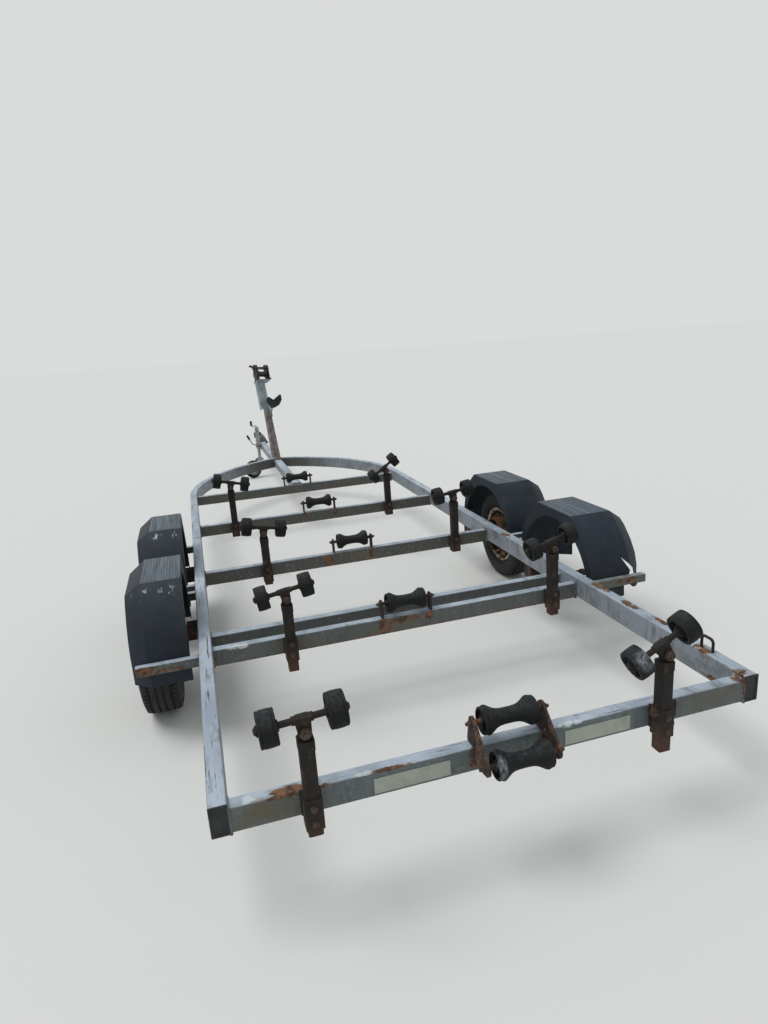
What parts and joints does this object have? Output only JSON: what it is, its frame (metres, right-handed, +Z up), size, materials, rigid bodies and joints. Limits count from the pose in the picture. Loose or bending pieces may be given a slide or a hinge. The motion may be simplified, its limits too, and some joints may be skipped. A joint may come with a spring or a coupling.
{
  "type": "boat_trailer",
  "caption": "Boat trailer with curved side rails, tandem axles, four faceted mudguards, rocking side rollers, keel rollers, winch post and jockey wheel; rear right wheel missing.",
  "frame": {"origin": "middle of the bounding box on the floor", "axes": "+X to the right, +Y forward towards the coupling, +Z up"},
  "size_m": [2.28, 7.0899, 1.2852],
  "materials": {
    "frame_paint": "semi-gloss, chalky, with rust patches",
    "rusty_steel": "matt, rusted",
    "zinc_steel": "dull zinc coating",
    "mudguard_plastic": "moulded charcoal plastic, worn pale on top",
    "wheel_paint": "weathered cream paint",
    "black_rubber": "matt",
    "tyre_rubber": "matt",
    "dark_metal": "matt black paint",
    "strip_white": "pale reflective film"
  },
  "bodies": {
    "root": {"blank_strips": "strip_white", "bow_stop": "black_rubber", "coupling": "dark_metal", "crossmembers": "frame_paint", "drawbar": "frame_paint", "jockey_tube": "zinc_steel", "keel_brackets": "rusty_steel", "mudguard_bars": "frame_paint", "mudguard_front_left": "mudguard_plastic", "mudguard_front_right": "mudguard_plastic", "mudguard_rear_left": "mudguard_plastic", "mudguard_rear_right": "mudguard_plastic", "rear_cradle": "rusty_steel", "roller_posts": "rusty_steel", "side_rails": "frame_paint", "suspension_units": "dark_metal", "tie_loop": "frame_paint", "winch": "dark_metal", "winch_post": "rusty_steel"},
    "jockey_fork": {"jockey_fork": "zinc_steel"},
    "jockey_leg": {"jockey_leg": "zinc_steel"},
    "jockey_wheel": {"jockey_wheel": "black_rubber"},
    "keel_2": {"keel_2": "black_rubber"},
    "keel_3": {"keel_3": "black_rubber"},
    "keel_4": {"keel_4": "black_rubber"},
    "keel_5": {"keel_5": "black_rubber"},
    "keel_lower": {"keel_lower": "black_rubber"},
    "keel_upper": {"keel_upper": "black_rubber"},
    "rocker_l1": {"rocker_l1": "rusty_steel"},
    "rocker_l2": {"rocker_l2": "rusty_steel"},
    "rocker_l3": {"rocker_l3": "rusty_steel"},
    "rocker_l4": {"rocker_l4": "rusty_steel"},
    "rocker_r1": {"rocker_r1": "rusty_steel"},
    "rocker_r2": {"rocker_r2": "rusty_steel"},
    "rocker_r3": {"rocker_r3": "rusty_steel"},
    "rocker_r4": {"rocker_r4": "rusty_steel"},
    "rollers_l1": {"rollers_l1": "black_rubber"},
    "rollers_l2": {"rollers_l2": "black_rubber"},
    "rollers_l3": {"rollers_l3": "black_rubber"},
    "rollers_l4": {"rollers_l4": "black_rubber"},
    "rollers_r1": {"rollers_r1": "black_rubber"},
    "rollers_r2": {"rollers_r2": "black_rubber"},
    "rollers_r3": {"rollers_r3": "black_rubber"},
    "rollers_r4": {"rollers_r4": "black_rubber"},
    "road_wheel_front_left": {"tyre_front_left": "tyre_rubber", "wheel_front_left": "wheel_paint"},
    "road_wheel_front_right": {"tyre_front_right": "tyre_rubber", "wheel_front_right": "wheel_paint"},
    "road_wheel_rear_left": {"tyre_rear_left": "tyre_rubber", "wheel_rear_left": "wheel_paint"}
  },
  "joints": [
    {"name": "rocker_l4_tilt", "type": "hinge", "parent": "root", "child": "rocker_l4", "pos_m": [-0.623, -3.45195, 0.566], "axis": [0, -1, 0], "range_deg": [-44, 36]},
    {"name": "rollers_l4_spin", "type": "hinge", "parent": "rocker_l4", "child": "rollers_l4", "pos_m": [-0.62523, -3.45195, 0.59792], "axis": [0.9976, 0, 0.0698], "continuous": true},
    {"name": "rocker_r4_tilt", "type": "hinge", "parent": "root", "child": "rocker_r4", "pos_m": [0.442, -3.45195, 0.553], "axis": [0, -1, 0], "range_deg": [-67, 13]},
    {"name": "rollers_r4_spin", "type": "hinge", "parent": "rocker_r4", "child": "rollers_r4", "pos_m": [0.42747, -3.45195, 0.58151], "axis": [0.891, 0, 0.454], "continuous": true},
    {"name": "rocker_l3_tilt", "type": "hinge", "parent": "root", "child": "rocker_l3", "pos_m": [-0.531, -2.49295, 0.536], "axis": [0, -1, 0], "range_deg": [-49, 31]},
    {"name": "rollers_l3_spin", "type": "hinge", "parent": "rocker_l3", "child": "rollers_l3", "pos_m": [-0.53601, -2.49295, 0.56761], "axis": [0.9877, 0, 0.1564], "continuous": true},
    {"name": "rocker_r3_tilt", "type": "hinge", "parent": "root", "child": "rocker_r3", "pos_m": [0.633, -2.49295, 0.559], "axis": [0, -1, 0], "range_deg": [-55, 25]},
    {"name": "rollers_r3_spin", "type": "hinge", "parent": "rocker_r3", "child": "rollers_r3", "pos_m": [0.62472, -2.49295, 0.58991], "axis": [0.9659, 0, 0.2588], "continuous": true},
    {"name": "rocker_l2_tilt", "type": "hinge", "parent": "root", "child": "rocker_l2", "pos_m": [-0.512, -1.55395, 0.541], "axis": [0, -1, 0], "range_deg": [-30, 50]},
    {"name": "rollers_l2_spin", "type": "hinge", "parent": "rocker_l2", "child": "rollers_l2", "pos_m": [-0.50644, -1.55395, 0.57251], "axis": [0.9848, 0, -0.1736], "continuous": true},
    {"name": "rocker_r2_tilt", "type": "hinge", "parent": "root", "child": "rocker_r2", "pos_m": [0.557, -1.55395, 0.59], "axis": [0, -1, 0], "range_deg": [-48, 32]},
    {"name": "rollers_r2_spin", "type": "hinge", "parent": "rocker_r2", "child": "rollers_r2", "pos_m": [0.55255, -1.55395, 0.62169], "axis": [0.9903, 0, 0.1392], "continuous": true},
    {"name": "rocker_l1_tilt", "type": "hinge", "parent": "root", "child": "rocker_l1", "pos_m": [-0.609, -0.59795, 0.606], "axis": [0, -1, 0], "range_deg": [-27, 53]},
    {"name": "rollers_l1_spin", "type": "hinge", "parent": "rocker_l1", "child": "rollers_l1", "pos_m": [-0.6018, -0.59795, 0.63718], "axis": [0.9744, 0, -0.225], "continuous": true},
    {"name": "rocker_r1_tilt", "type": "hinge", "parent": "root", "child": "rocker_r1", "pos_m": [0.449, -0.59795, 0.583], "axis": [0, -1, 0], "range_deg": [-75, 5]},
    {"name": "rollers_r1_spin", "type": "hinge", "parent": "rocker_r1", "child": "rollers_r1", "pos_m": [0.43065, -0.59795, 0.60921], "axis": [0.8192, 0, 0.5736], "continuous": true},
    {"name": "keel_2_spin", "type": "hinge", "parent": "root", "child": "keel_2", "pos_m": [-0.033, -2.44795, 0.422], "axis": [1, 0, 0], "continuous": true},
    {"name": "keel_3_spin", "type": "hinge", "parent": "root", "child": "keel_3", "pos_m": [-0.033, -1.50895, 0.422], "axis": [1, 0, 0], "continuous": true},
    {"name": "keel_4_spin", "type": "hinge", "parent": "root", "child": "keel_4", "pos_m": [-0.033, -0.55295, 0.425], "axis": [1, 0, 0], "continuous": true},
    {"name": "keel_5_spin", "type": "hinge", "parent": "root", "child": "keel_5", "pos_m": [-0.033, 0.37105, 0.424], "axis": [1, 0, 0], "continuous": true},
    {"name": "keel_upper_spin", "type": "hinge", "parent": "root", "child": "keel_upper", "pos_m": [-0.049, -3.41795, 0.448], "axis": [1, 0, 0], "continuous": true},
    {"name": "keel_lower_spin", "type": "hinge", "parent": "root", "child": "keel_lower", "pos_m": [-0.049, -3.50295, 0.36], "axis": [1, 0, 0], "continuous": true},
    {"name": "road_wheel_rear_left_spin", "type": "hinge", "parent": "root", "child": "road_wheel_rear_left", "pos_m": [-1.058, -2.13495, 0.261], "axis": [1, 0, 0], "continuous": true},
    {"name": "road_wheel_front_left_spin", "type": "hinge", "parent": "root", "child": "road_wheel_front_left", "pos_m": [-1.058, -1.34495, 0.261], "axis": [1, 0, 0], "continuous": true},
    {"name": "road_wheel_front_right_spin", "type": "hinge", "parent": "root", "child": "road_wheel_front_right", "pos_m": [0.992, -1.34495, 0.261], "axis": [1, 0, 0], "continuous": true},
    {"name": "jockey_raise", "type": "slide", "parent": "root", "child": "jockey_leg", "axis": [0, 0, 1], "range_m": [-0.08, 0.075]},
    {"name": "jockey_swivel", "type": "hinge", "parent": "jockey_leg", "child": "jockey_fork", "pos_m": [-0.1, 2.73795, 0.216], "axis": [0, 0, 1], "continuous": true},
    {"name": "jockey_wheel_spin", "type": "hinge", "parent": "jockey_fork", "child": "jockey_wheel", "pos_m": [-0.19063, 2.69569, 0.1], "axis": [0.4226, -0.9063, 0], "continuous": true}
  ]
}
